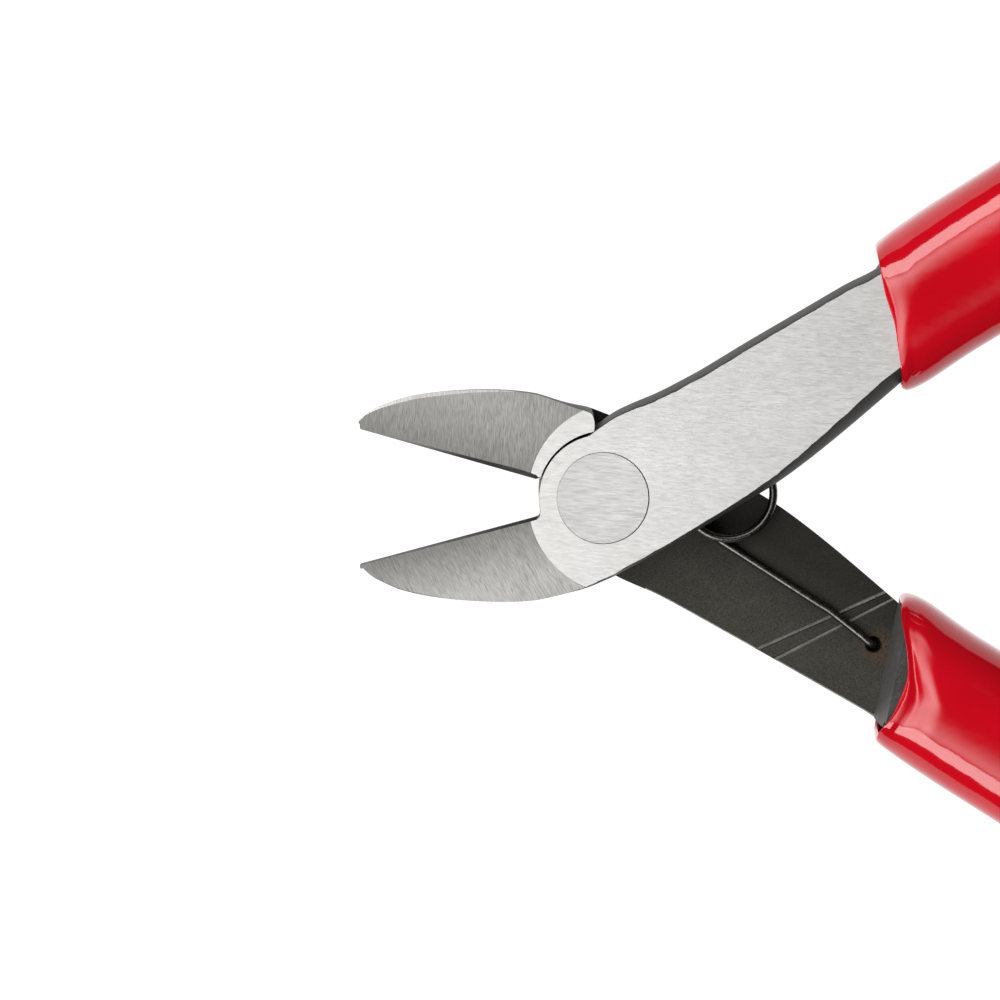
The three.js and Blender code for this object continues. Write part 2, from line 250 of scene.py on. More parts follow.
def blackened_steel(name, tone, wear=0.5, rust_at=None, roughness=0.5, painted_shades=(), shine=(0.55, 0.5)):
    """Oil-blackened forging scale: fine light and dark speckle, a few rubbed patches."""
    m = Nodes(name)
    here = m.position()
    grain = m.noise(here, 9, 3, 0.7)
    patch = m.noise(m.position(0.4, (0.35, 0.6, 0.5), (2, 5, 1)), 1, 3, 0.6)
    speck = m.noise(m.position(0, (1, 1, 1), (11, 3, 2)), 14, 2, 0.8)
    dark, light = (tuple(c * s for c in tone) for s in (0.62, 1.5))
    colour = m.mix(m.fit(grain, 0.35, 0.65, 0, 1), dark, light)
    rubbed = tuple(c * 3.4 for c in tone)
    specks = m.math("MULTIPLY", m.fit(speck, 0.62, 0.74, 0, 1), wear)
    colour = m.mix(specks, colour, rubbed)
    colour = m.mix(m.math("MULTIPLY", m.fit(patch, 0.5, 0.75, 0, 1), 0.35 * wear), colour, rubbed)
    # Painted shade: the colour is darkened along the given straight runs
    colour = m.shade(colour, painted_shades)
    if rust_at:
        offset = m.add("VectorMath", {0: here, 1: rust_at}, operation="DISTANCE")
        near = m.fit(offset.outputs["Value"], 0.5, 1.5, 1, 0)
        spots = m.fit(m.noise(here, 7, 3, 0.7), 0.45, 0.6, 0, 1)
        colour = m.mix(m.math("MULTIPLY", near, spots), colour, (0.062, 0.032, 0.015))
    metallic, specular = shine
    m.set(Base_Color=colour, Metallic=metallic, Specular_IOR_Level=specular,
          Roughness=m.fit(grain, 0.3, 0.7, roughness - 0.1, roughness + 0.12))
    m.bump(grain, 0.45, 0.02)
    return m.material


def red_vinyl():
    """Glossy dipped vinyl: slow drifts of colour, faint streaks of dust, a slight ripple."""
    m = Nodes("red_vinyl")
    slow = m.noise(m.position(0, (0.12, 0.2, 0.2)), 1, 2)
    dust = m.noise(m.position(0.2, (1.2, 6, 3), (4, 2, 1)), 1, 2)
    ripple = m.noise(m.position(0, (0.3, 0.45, 0.45), (1, 6, 3)), 1, 2)
    colour = m.mix(m.fit(slow, 0.3, 0.7, 0, 1), (0.354, 0.0006, 0.0056), (0.42, 0.001, 0.008))
    m.set(Base_Color=colour, Roughness=m.fit(dust, 0.3, 0.7, 0.06, 0.11), IOR=1.5)
    m.bump(ripple, 0.35, 0.12)
    return m.material


def wire_black():
    """Oil-tempered spring wire with dark streaks."""
    m = Nodes("spring_wire")
    streak = m.noise(m.position(), 6, 2, 0.6)
    colour = m.mix(m.fit(streak, 0.35, 0.65, 0, 1), (0.045, 0.043, 0.04), (0.09, 0.087, 0.08))
    m.set(Base_Color=colour, Metallic=1.0, Roughness=m.fit(streak, 0.3, 0.7, 0.2, 0.3))
    m.bump(streak, 0.06, 0.004)
    return m.material


LIGHT_STEEL = (0.706, 0.694, 0.68)
# Tone of the jaw's tapered face: a coarser grind, darkened further as painted shade for its tilted face
TAPER_STEEL_GRIND_AND_SHADE = (0.285, 0.278, 0.267)
RUBBED_STEEL = (0.24, 0.234, 0.226)
BEVEL_STEEL = (0.12, 0.115, 0.11)
QUARTER_TURN = math.pi / 2
# Brush direction of the jaw's face and of its bevel in degrees, and the painted shade laid on the face along
# two straight runs
JAW_GRIND = {
    "front": (-62, 15, ((HALF_OPENING - QUARTER_TURN, 0.3, 3.8, 0.51, 1.0), (0, -15, -9, 0.95, 1.0))),
    "rear": (86, -15, ((QUARTER_TURN - HALF_OPENING, 0.3, 4.0, 0.545, 0.88), (0, -15, -9, 1.0, 0.99))),
}
RUST_AT = {
    "front": (HOOK.x, HOOK.y, MID_Z + RECESS),
    "rear": (HOOK.x + 0.35, -HOOK.y - 0.2, MID_Z - RECESS),
}


def lever_looks(side):
    turn, bevel, painted_shades = JAW_GRIND[side]
    turn, bevel, handle = (math.radians(angle) for angle in (turn, bevel, -6))
    # Painted shade: the ground faces darken towards the handle, the inner faces over a short run turned 59
    # degrees
    ground_painted_shade = ((0, -6, 22, 1.0, 0.76),)
    inner_painted_shade = ((math.radians(59), -1.5, 3, 1.0, 0.36),)
    return {
        "ground": brushed_steel(f"{side}_ground", LIGHT_STEEL, handle, 0.06, roughness=0.4, painted_shades=ground_painted_shade),
        "taper": brushed_steel(f"{side}_jaw_taper", TAPER_STEEL_GRIND_AND_SHADE, turn, 0.26, 0.9, 0.045, 0.42, 0.1, painted_shades),
        "bevel": brushed_steel(f"{side}_cutting_bevel", BEVEL_STEEL, bevel, 0.2, 2, 0.05, 0.4),
        "rubbed": brushed_steel(f"{side}_rubbed_edge", RUBBED_STEEL, turn, 0.26, 0.7, 0.045, 0.42),
        "flank": blackened_steel(f"{side}_flank", (0.03, 0.03, 0.029), 0.4, shine=(0.1, 0.15)),
        "inner": blackened_steel(f"{side}_inner", (0.028, 0.0258, 0.0205), 0.4, RUST_AT[side],
                                 painted_shades=inner_painted_shade, shine=(0.55, 0.25)),
        "worn": blackened_steel(f"{side}_worn", (0.065, 0.063, 0.06), 0.5, None, 0.6),
        "edge": blackened_steel(f"{side}_edge", (0.075, 0.073, 0.068), 0.8, None, 0.6),
        "rim": blackened_steel(f"{side}_rim", (0.16, 0.155, 0.145), 1.0, None, 0.5),
    }


LOOKS = {side: lever_looks(side) for side in ("front", "rear")}
RIVET_STEEL = (0.628, 0.615, 0.606)
RIVET_END = brushed_steel("rivet_end", RIVET_STEEL, math.radians(-7), 0.06, 1.1, 0.075, 0.38, 0.15)
VINYL = red_vinyl()
WIRE = wire_black()

# ---------------------------------------------------------------- curves


def catmull(points, steps):
    """Points of a smooth curve through the given ones, without the last."""
    found = []
    last = len(points) - 1
    for i in range(last):
        p0, p1, p2, p3 = (np.array(points[min(max(k, 0), last)], float) for k in range(i - 1, i + 3))
        for t in np.arange(steps) / steps:
            cubic = (-p0 + 3 * p1 - 3 * p2 + p3) * t**3
            square = (2 * p0 - 5 * p1 + 4 * p2 - p3) * t * t
            found.append(0.5 * (2 * p1 + (p2 - p0) * t + square + cubic))
    return found


def bezier(start, control, end, steps):
    a, b, c = (np.array(p, float) for p in (start, control, end))
    return [(1 - t) ** 2 * a + 2 * t * (1 - t) * b + t * t * c for t in np.arange(steps) / steps]


def arc(centre, radius, start, end, steps):
    """Points of an arc between two angles in turns of pi, both ends included."""
    angles = np.linspace(start, end, steps + 1) * math.pi
    return [np.array([centre[0] + radius * math.cos(a), centre[1] + radius * math.sin(a)]) for a in angles]


def outward(ring, closed=True):
    """Unit normals of a counter-clockwise polyline, pointing out of it, lengthened at corners."""
    ring = np.array(ring)
    before, after = np.roll(ring, 1, 0), np.roll(ring, -1, 0)
    if not closed:
        before[0], after[-1] = 2 * ring[0] - ring[1], 2 * ring[-1] - ring[-2]
    a = (ring - before) / np.linalg.norm(ring - before, axis=1)[:, None]
    b = (after - ring) / np.linalg.norm(after - ring, axis=1)[:, None]
    normal = np.stack([a[:, 1] + b[:, 1], -a[:, 0] - b[:, 0]], 1)
    normal /= np.linalg.norm(normal, axis=1)[:, None]
    stretch = 1 / np.maximum(0.6, np.sqrt((1 + (a * b).sum(1)) / 2))
    return normal * stretch[:, None]


# ---------------------------------------------------------------- meshes


def new_object(name, vertices, faces, *materials):
    mesh = bpy.data.meshes.new(name)
    mesh.from_pydata([tuple(v) for v in vertices], [], faces)
    mesh.validate()
    for material in materials:
        mesh.materials.append(material)
    obj = bpy.data.objects.new(name, mesh)
    bpy.context.scene.collection.objects.link(obj)
    return obj


def rings_solid(name, rings, *materials, closed=False):
    """Closed solid through rings of equal length: capped at both ends, or joined end to end."""
    n = len(rings[0])
    vertices = [v for ring in rings for v in ring]
    faces = []
    for k in range(len(rings) if closed else len(rings) - 1):
        a, b = k * n, (k + 1) % len(rings) * n
        faces += [(a + i, a + (i + 1) % n, b + (i + 1) % n, b + i) for i in range(n)]
    if not closed:
        faces.append(tuple(range(n))[::-1])
        faces.append(tuple(range(len(vertices) - n, len(vertices))))
    obj = new_object(name, vertices, faces, *materials)
    bm = bmesh.new()
    bm.from_mesh(obj.data)
    bmesh.ops.recalc_face_normals(bm, faces=bm.faces)
    if bm.calc_volume(signed=True) < 0:
        bmesh.ops.reverse_faces(bm, faces=bm.faces)
    bm.to_mesh(obj.data)
    bm.free()
    return obj


def loft(name, ring, levels, *materials):
    """Solid with a flat plan outline and a side profile: levels are (z, inset of each point)."""
    ring = np.array(ring)
    normal = outward(ring)
    rings = []
    for z, inset in levels:
        moved = ring - normal * np.broadcast_to(inset, len(ring))[:, None]
        rings.append([(x, y, z) for x, y in moved])
    return rings_solid(name, rings, *materials)


def drum(radius, centre, low, high, material, chamfer=0.0, steps=96):
    """Round bar along Z. A chamfer above 0 widens its top, to break the edge of the hole it cuts."""
    levels = [(low, 0), (high, 0)]
    if chamfer:
        levels = [(low, 0), (high - chamfer, 0), (high, -chamfer), (high + 1, -chamfer)]
    return loft("drum", arc(centre, radius, 0, 2, steps)[:-1], levels, material)


def cut(target, cutter):
    """Takes the cutter out of the target; the new faces get the cutter's material."""
    modifier = target.modifiers.new("cut", "BOOLEAN")
    modifier.object = cutter
    modifier.solver = "MANIFOLD"
    modifier.material_mode = "TRANSFER"
    graph = bpy.context.evaluated_depsgraph_get()
    mesh = bpy.data.meshes.new_from_object(target.evaluated_get(graph))
    target.modifiers.clear()
    old, target.data = target.data, mesh
    bpy.data.meshes.remove(old)
    bpy.data.objects.remove(cutter)


def flip_z(obj):
    obj.data.transform(Matrix.Scale(-1, 4, (0, 0, 1)))
    obj.data.flip_normals()
    return obj


def smooth(obj, angle=24):
    """Smooth shading, broken at sharp edges and where one ground surface meets another."""
    for polygon in obj.data.polygons:
        polygon.use_smooth = True
    obj.data.set_sharp_from_angle(angle=math.radians(angle))
    bm = bmesh.new()
    bm.from_mesh(obj.data)
    for edge in bm.edges:
        if len({face.material_index for face in edge.link_faces}) > 1:
            edge.smooth = False
    bm.to_mesh(obj.data)
    bm.free()


def place(obj, side):
    """From a lever's own closed pose in millimetres to the open pose in the row frame in metres."""
    turn = Matrix.Rotation(HALF_OPENING, 4, "Z")
    if side == "rear":
        turn = Matrix.Rotation(math.pi, 4, "X") @ turn
    obj.data.transform(Matrix.Scale(MM, 4) @ Matrix.Translation((0, 0, MID_Z)) @ turn)


# ---------------------------------------------------------------- levers

JAW_BACK = (
    (-16.8, -0.5), (-16.15, -1.4), (-14.8, -2.4), (-12.6, -3.52), (-9.6, -4.62), (-6.5, -5.36), (-3.2, -5.58)
)


def lever_plan():
    """Outline of a lever seen from its own front, and how much its side leans in at each point."""
    tang_end = arc((80.2, 13.2), 2.6, -0.54, 0.46, 10)
    pieces = [
        (bezier((TIP_X + 0.25, EDGE_Y), (TIP_X - 0.03, -0.1), JAW_BACK[0], 8), 0.0, 0.05),
        (catmull([*JAW_BACK, (-0.7, -5.4)], 8), 0.0, 0.25),
        (catmull([(-0.7, -5.4), (3.4, -4.5), (8.8, -3.05)], 10), 0.25, 0.42),
        (catmull([(8.8, -3.05), (11.8, -2.2), (15.5, -0.72), (20.3, 1.5)], 10), 0.42, 1.05),
        (
            catmull([(20.3, 1.5), (23.6, 2.95), (30.85, 5.15), (45.6, 9.15), (60.1, 11), tang_end[0]], 6),
            1.05,
            0.3,
        ),
        (tang_end, 0.3, 0.3),
        (catmull([(75.2, 16.6), (59.9, 17.4), (44.4, 16.05), (28.75, 12.1), (20.84, 9.5)], 6), 0.3, 0.28),
        (catmull([(20.84, 9.5), (13.7, 7.69), (6.57, 5.93), (4.4, 5.52)], 10), 0.28, 0.24),
        (catmull([(4.4, 5.52), (2.4, 5.2), (0.9, 4.64), (0.147, 4.247)], 8), 0.24, 0.0),
        (arc((0, 0), BOSS_R, 0.489, 0.978, 40), 0.0, 0.0),
        (bezier((-4.28, 0.2), (-4.33, EDGE_Y), JAW_ROOT, 6), 0.0, 0.0),
        ([np.array(p) for p in (JAW_ROOT, (-9.0, EDGE_Y), (-13.0, EDGE_Y))], 0.0, 0.0),
    ]
    ring, lean = [], []
    for points, start, end in pieces:
        ring += points
        lean += list(np.linspace(start, end, len(points)))
    return np.array(ring), np.array(lean)


def face_height(points, drop):
    """Height of the tapered jaw face at plan points."""
    distance = np.linalg.norm(np.array(points) - np.array(TAPER_CENTRE), axis=1)
    return HEAD_HALF - np.maximum(0, distance - TAPER_R) * drop / (TAPER_END - TAPER_R)


# Height above the shared plane as a share of HEAD_HALF, and how much of the full lean is reached there
SIDE_PROFILE = ((0.25, 0.0), (0.5, 0.1), (0.68, 0.3), (0.8, 0.52), (0.9, 0.76), (0.97, 0.96))
EDGE_BREAK = 0.06
BACK_LEAN = 0.13  # the jaw's back slopes in behind its front face, for each millimetre of depth

# How far each lever's outline is ground back from the common plan, along X: jaw back, then handle back
OUTLINE_TRIM = {
    "front": (
        ((-16.8, 0.18), (-15.8, 0.18), (-14.7, 0.06), (-9.1, -0.05), (-6.1, -0.17), (-3.1, -0.13), (0, 0)),
        ((4, 0), (8.5, 0.07), (12, -0.07), (16, -0.13), (19.5, -0.18), (22, 0.05), (24, 0.3)),
    ),
    "rear": (
        ((-16.8, -0.2), (-14, -0.33), (-9, -0.28), (-6, -0.22), (-4.2, 0), (-3.1, 0.04), (2, 0.04), (6, 0)),
        ((4, 0), (5, 0)),
    ),
}

# Share of the back's lean along X
BACK_GROUND = {
    "front": ((-5, 1), (-2.5, 0)),
    "rear": ((-5, 1), (-2.5, 0.5), (2, 0.5), (5, 0)),
}


def trim_along(side, ring):
    """How far this lever's outline lies inside the common plan at each point."""
    x, y = np.array(ring)[:, 0], np.array(ring)[:, 1]
    jaw, handle = (np.interp(x, *zip(*table)) for table in OUTLINE_TRIM[side])
    return jaw * (y < -0.4) * (x < 6) + handle * (y > 2.5 + x / 4)


def lever_blank(looks, side):
    """The forging before its lap and jaw are cut: ground faces, blackened sides that lean in."""
    face = 1 if side == "front" else -1
    ring, lean = lever_plan()
    wander = 0.016 * np.sin(ring[:, 0] * 3.1) + 0.012 * np.sin(ring[:, 0] * 7.7 + 1.3)
    on_back = (ring[:, 1] < -0.4) * np.interp(ring[:, 0], *zip(*BACK_GROUND[side]))
    trim = trim_along(side, ring)
    jaw_face = face_height(ring, FRONT_DROP)
    levels = []
    for sign in (-1, 1):
        half = [(HEAD_HALF * height, lean * share) for height, share in SIDE_PROFILE]
        broken = EDGE_BREAK * (1 - on_back) * np.where(lean > 0, 1, 0.4)
        half.append((HEAD_HALF, lean + wander * (lean > 0.2) + broken))
        for z, inset in half[::sign]:
            behind = np.maximum(0, jaw_face - sign * z * face)
            levels.append((sign * z, inset + trim + on_back * BACK_LEAN * behind))
    obj = loft("lever", ring, levels, looks["ground"], looks["flank"])
    for polygon in obj.data.polygons:
        polygon.material_index = 0 if abs(polygon.normal.z) > 0.999 else 1
    return obj


def lap_ring():
    """Plan of what is cut away behind the lap face, from the jaw's root round the boss to the tang."""
    finger = [(-1.79, -4.09), (-1.77, -4.3), (-1.92, -4.81), (-2.23, -5.21), (-2.69, -5.37), (-3.2, -5.9)]
    low, high = SHOULDER_LOW, SHOULDER_HIGH
    shares = np.linspace(0, 1, 31)[1:]
    angles = math.pi * (1.024 + 0.345 * shares)
    radii = BOSS_CLEARANCE_R - 0.02 + 0.11 * shares**2
    round_boss = [np.array([r * math.cos(a), r * math.sin(a)]) for r, a in zip(radii, angles)]
    return (
        [(-4.66, BEYOND), (-4.66, 0.0), (-4.37, -0.19)]
        + round_boss
        + catmull(finger, 6)[1:]
        + [(-3.3, -7.0), (low[0] - 0.4, -7.0), low, high, (high[0] + 0.1, BEYOND)]
    )


def taper_cutter(drop, material):
    rings = []
    for radius, z in (
        (TAPER_R, HEAD_HALF),
        (TAPER_END, HEAD_HALF - drop),
        (TAPER_END, HEAD_HALF + 1),
        (TAPER_R, HEAD_HALF + 1),
    ):
        rings.append([(x, y, z) for x, y in arc(TAPER_CENTRE, radius, 0.6, 1.75, 120)])
    return rings_solid("taper", [list(section) for section in zip(*rings)], material)


def edge_cutter(path, widths, depths, drop, material, reach):
    """Bar that breaks the edge between a jaw's face and its side, along a plan path."""
    normal = outward(path, closed=False)
    normal /= np.linalg.norm(normal, axis=1)[:, None]
    widths, depths = (np.broadcast_to(size, len(path)) for size in (widths, depths))
    sections = []
    for point, out, z, width, depth in zip(path, normal, face_height(path, drop), widths, depths):
        along = np.array([width, -depth]) / math.hypot(width, depth) * reach
        section = []
        for inward, down in (np.array([width, 0]) + along, np.array([0, depth]) - along, (-reach, -reach)):
            x, y = np.array(point) - out * inward
            section.append((x, y, z - down))
        sections.append(section)
    return rings_solid("edge", sections, material)


def relief_cutter(path, material):
    """Long relief behind the cutting edge, from just under its bevel to the jaw's rear."""
    normal = outward(path, closed=False)
    start, depth = 0.36, 8.0
    sections = []
    for (x, y), (out_x, out_y), z in zip(path, normal, face_height(path, FRONT_DROP)):
        slope = np.interp(x, (-6.2, -4.6, -4.3), (0.44, 0.16, 0.12))
        corners = ((0.0, start), (-slope * depth, start + depth), (0.5, start + depth), (0.5, start))
        sections.append([(x + out_x * out, y + out_y * out, z - down) for out, down in corners])
    return rings_solid("relief", sections, material)


def rim_cutter(path, z, width, depth, material):
    """Bar that breaks the edge of the thin handle's inner face, which lies at z and looks to -Z."""
    normal = outward(path, closed=False)
    reach = 0.3
    sections = []
    for point, out in zip(path, normal):
        along = np.array([width, -depth]) / math.hypot(width, depth) * reach
        corners = (np.array([width, 0]) + along, np.array([0, depth]) - along, (-reach, -reach))
        sections.append([(*(np.array(point) - out * inward), z + down) for inward, down in corners])
    return rings_solid("rim", sections, material)


def slope_cutter(low, high, foot_z, top_z, run, material):
    """Bar with a sloping end wall whose foot lies on the line from low to high."""
    line = np.array(high) - np.array(low)
    along = line / np.linalg.norm(line)
    start, end = np.array(low) - along * 8, np.array(high) + along * 4
    corners = [(-0.6, foot_z - 0.3), (-0.3, foot_z - 0.3), (0.0, foot_z), (run, top_z), (-0.6, top_z)]
    rings = [[(x + shift, y, z) for shift, z in corners] for x, y in (start, end)]
    return rings_solid("slope", rings, material)


def lever_shape(side, looks):
    face_up = side == "front"

    def front(obj):
        return obj if face_up else flip_z(obj)

    def rear(obj):
        return flip_z(obj) if face_up else obj

    lever = lever_blank(looks, side)
    cut(lever, front(taper_cutter(FRONT_DROP, looks["taper"])))
    cut(lever, rear(taper_cutter(REAR_DROP, looks["taper"])))

    # Back edge of the jaw, rolled over where the belt ground it
    back = np.array(catmull(JAW_BACK, 7)[:-1])
    back -= outward(back, closed=False) * trim_along(side, back)[:, None]
    swell = np.sin(np.clip(np.linspace(-0.1, 1.1, len(back)), 0, 1) * math.pi)
    wide, deep = (0.05, 0.05) if face_up else (0.22, 0.04)
    widths, depths = 0.06 + wide * swell, 0.04 + deep * swell
    cut(lever, front(edge_cutter(back, widths, depths, FRONT_DROP, looks["rubbed"], 0.5)))

    # Cutting edge: a narrow bevel on the front and a long relief on the rear
    xs = np.linspace(JAW_ROOT[0] + 0.05, TIP_X - 0.6, 30)
    edge = np.stack([xs, np.full(30, EDGE_Y)], 1)
    if face_up:
        before = np.array(bezier((-4.28, 0.2), (-4.33, EDGE_Y), JAW_ROOT, 8))[1:]
        width = [*np.linspace(0.03, 0.2, len(before)), *np.linspace(0.2, 0.07, 30)]
    else:
        before = np.array([(-3.9, EDGE_Y), (-4.4, EDGE_Y)])
        width = [0.02, 0.2, *np.interp(xs, (-16.8, -14, -5.6, -4.7), (0.06, 0.12, 0.36, 0.3))]
    path = np.concatenate([before, edge])
    cut(lever, front(edge_cutter(path, width, 0.3, FRONT_DROP, looks["bevel"], 0.25)))
    root = np.array(bezier((-4.28, 0.2), (-4.33, EDGE_Y), JAW_ROOT, 6))
    cut(lever, front(relief_cutter(np.concatenate([root, edge]), looks["taper"])))

    # Lap, recess, coil pocket and the ramp up to the shoulder
    ring = lap_ring()
    cut(lever, loft("lap", ring, [(-BEYOND, 0), (LAP_GAP, 0)], looks["inner"]))
    recess = loft("recess", ring, [(-BEYOND, 0), (RECESS, 0)], looks["inner"])
    cut(recess, drum(LAP_PAD_R, (0, 0), -30, 30, looks["inner"]))
    cut(lever, recess)
    cut(lever, drum(POCKET_R, POCKET_CENTRE, -30, RECESS + 0.01, looks["inner"]))
    ramp_top = -HEAD_HALF - 0.4
    cut(lever, slope_cutter(SHOULDER_LOW, SHOULDER_HIGH, RECESS, ramp_top, SHOULDER_RAMP, looks["worn"]))

    # Worn rims of the thin handle, and a shallow channel across it with rubbed edges
    outer_rim = [(22.5, 10.05), (20.84, 9.5), (13.7, 7.69), (6.57, 5.93), (4.4, 5.52)]
    inner_rim = [(4.4, -4.27), (8.8, -3.05), (11.8, -2.2), (15.5, -0.72), (20.3, 1.5)]
    cut(lever, rim_cutter(np.array(catmull(outer_rim, 12)), RECESS, 0.09, 0.07, looks["rim"]))
    cut(lever, rim_cutter(np.array(catmull(inner_rim, 12)), RECESS, 0.05, 0.05, looks["worn"]))
    channel = [(10.6, 9.15), (22.05, -0.34), (22.95, -0.33), (11.65, 10.18)]
    for shrink, depth, look in ((-0.05, 0.05, "edge"), (0.12, 0.12, "inner")):
        profile = [(RECESS - 0.2, shrink), (RECESS, shrink), (RECESS + depth, shrink + depth)]
        cut(lever, loft("channel", channel, profile, looks[look]))

    # Rivet seat and spring hole
    cut(lever, drum(2.25, (0, 0), -10, 10, looks["inner"]))
    seat = (0.028, -0.006) if face_up else (0, 0)
    cut(lever, drum(RIVET_R + 0.02, seat, HEAD_HALF - 1, HEAD_HALF, looks["inner"], chamfer=0.008))
    angle = math.atan2(HOOK.y, HOOK.x) - HALF_OPENING
    distance = math.hypot(HOOK.x, HOOK.y)
    hole = (distance * math.cos(angle), distance * math.sin(angle))
    spring_hole = drum(HOLE_R, hole, -RECESS - HOLE_DEPTH, -RECESS, looks["inner"], chamfer=0.09, steps=40)
    cut(lever, flip_z(spring_hole))

    # Thinner tang inside the sleeve
    corners = [(TANG_STEP_FRONT, -60), (200, -60), (200, 60), (TANG_STEP_FRONT, 60)]
    notch = [
        (TANG_STEP_FRONT, 9.5),
        (TANG_STEP_REAR, 9.5),
        (TANG_STEP_REAR, 3.4),
        (TANG_STEP_FRONT, 3.4),
    ]
    levels = [(TANG_HALF, 0), (60, 0)]
    cut(lever, loft("slab", corners, levels, looks["flank"]))
    cut(lever, flip_z(loft("slab", corners + notch, levels, looks["flank"])))

    # Only the jaw is ground on the lever's rear; the tang keeps its scale there
    for polygon in lever.data.polygons:
        if polygon.normal.z < -0.99 and polygon.center.x > POCKET_CENTRE[0]:
            if lever.data.materials[polygon.material_index] == looks["ground"]:
                polygon.material_index = lever.data.materials.find(looks["flank"].name)
    smooth(lever)
    lever.name = lever.data.name = f"{side}_lever_steel"
    return lever


for side, looks in LOOKS.items():
    lever = lever_shape(side, looks)
    place(lever, side)
    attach(lever, side)
    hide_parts(f"{side}_lever")

# ---------------------------------------------------------------- rivet


def rivet_shape():
    """Flush headed rivet: a profile turned about Z, with the heads' edges just broken."""
    top, edge, shank_r, under = HEAD_HALF - 0.012, 0.02, 2.2, HEAD_HALF - 0.95
    profile = [(0.0, top), (RIVET_R - edge, top), (RIVET_R, top - edge), (RIVET_R, under), (shank_r, under)]
    profile += [(radius, -z) for radius, z in profile[::-1]]
    rings = []
    for radius, z in profile:
        radius = max(radius, 0.02)
        rings.append([(x, y, z) for x, y in arc((0, 0), radius, 0, 2, 128)[:-1]])
    obj = rings_solid("pivot_rivet_steel", rings, RIVET_END)
    smooth(obj)
    obj.data.transform(Matrix.Scale(MM, 4) @ Matrix.Translation((0, 0, MID_Z)))
    return obj


rivet = rivet_shape()
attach(rivet, "front")
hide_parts("pivot_rivet")

# ---------------------------------------------------------------- spring


def leg_points():
    """Front half of the wire from its hook to the tangent point, in the open pose about the coil."""
    hook = np.array([HOOK.x, HOOK.y])
    coil = np.array([COIL.x, COIL.y])
    reach = hook - coil
    distance = np.linalg.norm(reach)
    tangent_angle = math.atan2(reach[1], reach[0]) + math.acos(COIL_R / distance)
    tangent = coil + COIL_R * np.array([math.cos(tangent_angle), math.sin(tangent_angle)])
    along = (tangent - hook) / np.linalg.norm(tangent - hook)
    across = np.array([-along[1], along[0]])
    points = [(*hook, z) for z in np.linspace(RECESS + HOOK_DEPTH, LEG_Z + HOOK_BEND, 4)]
    for t in np.linspace(0.15, 1, 7):
        flat, rise = HOOK_BEND * t * t, HOOK_BEND * (1 - t) ** 2
        points.append((*(hook + along * flat), LEG_Z + rise))
    length = np.linalg.norm(tangent - hook)
    for share in np.linspace(0.08, 0.96, 24):
        kink = LEG_KINK * np.interp(share, (0, 0.28, 0.33, 1), (0, 1, 0.8, 0))
        points.append((*(hook + along * length * share + across * kink), LEG_Z))
    return points, tangent_angle


def spring_path():
    """The whole wire: front leg, coil, and the front leg turned over as the rear one."""
    front_leg, start = leg_points()
    rear_leg = [(x, -y, -z) for x, y, z in front_leg[::-1]]
    total = 2 * math.pi * (COIL_TURNS + 1) - 2 * start
    coil = []
    for share in np.linspace(0, 1, 150):
        angle = start + total * share
        z = LEG_Z * (1 - 2 * share)
        coil.append((COIL.x + COIL_R * math.cos(angle), COIL.y + COIL_R * math.sin(angle), z))
    return np.array(front_leg + coil + rear_leg)


def wire(name, path, radius, sides, material):
    """Round wire along a path, its sections carried along without twist."""
    tangents = np.gradient(path, axis=0)
    tangents /= np.linalg.norm(tangents, axis=1)[:, None]
    side_axis = np.cross(tangents[0], (1.0, 0, 0))
    rings = []
    for k, (point, tangent) in enumerate(zip(path, tangents)):
        side_axis = side_axis - tangent * side_axis.dot(tangent)
        side_axis /= np.linalg.norm(side_axis)
        up = np.cross(tangent, side_axis)
        size = radius * (0.82 if k in (0, len(path) - 1) else 1)
        angles = np.arange(sides) * 2 * math.pi / sides
        rings.append([tuple(point + size * (math.cos(a) * side_axis + math.sin(a) * up)) for a in angles])
    obj = rings_solid(name, rings, material)
    smooth(obj, 60)
    return obj


spring = wire("torsion_spring", spring_path(), WIRE_R, 14, WIRE)
spring.data.transform(Matrix.Scale(MM, 4) @ Matrix.Translation((0, 0, MID_Z)))
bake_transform(spring)
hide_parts("spring_front_arm", "spring_rear_arm")

# ---------------------------------------------------------------- sleeves


def superellipse(angle, exponent):
    """Point of a unit superellipse: 2 is a circle, and more is squarer."""
    c, s = math.cos(angle), math.sin(angle)
    return (math.copysign(abs(c) ** (2 / exponent), c), math.copysign(abs(s) ** (2 / exponent), s))


class Sweep:
    """Centre line and section of the sleeve; share runs from 0 at the first station to 1 at the end."""

    def __init__(self, shift):
        rows = np.array(SLEEVE_STATIONS, float) + (0, shift, 0, 0)
        self.line = np.array(catmull([tuple(row) for row in rows], 40) + [rows[-1]])

    def at(self, share):
        position = np.clip(share, 0, 1) * (len(self.line) - 1)
        k = int(min(position, len(self.line) - 2))
        t = position - k
        return self.line[k] * (1 - t) + self.line[k + 1] * t

    def point(self, share, angle, exponent, inset=0.0, closing=1.0):
        x, y, width, thickness = self.at(share)
        ahead, behind = self.at(share + 0.004), self.at(share - 0.004)
        tangent = (ahead - behind)[:2]
        tangent /= np.linalg.norm(tangent)
        across, up = superellipse(angle, exponent)
        across *= (width - inset) * closing
        up *= (thickness - inset) * closing
        return np.array([x - tangent[1] * across, y + tangent[0] * across, up])


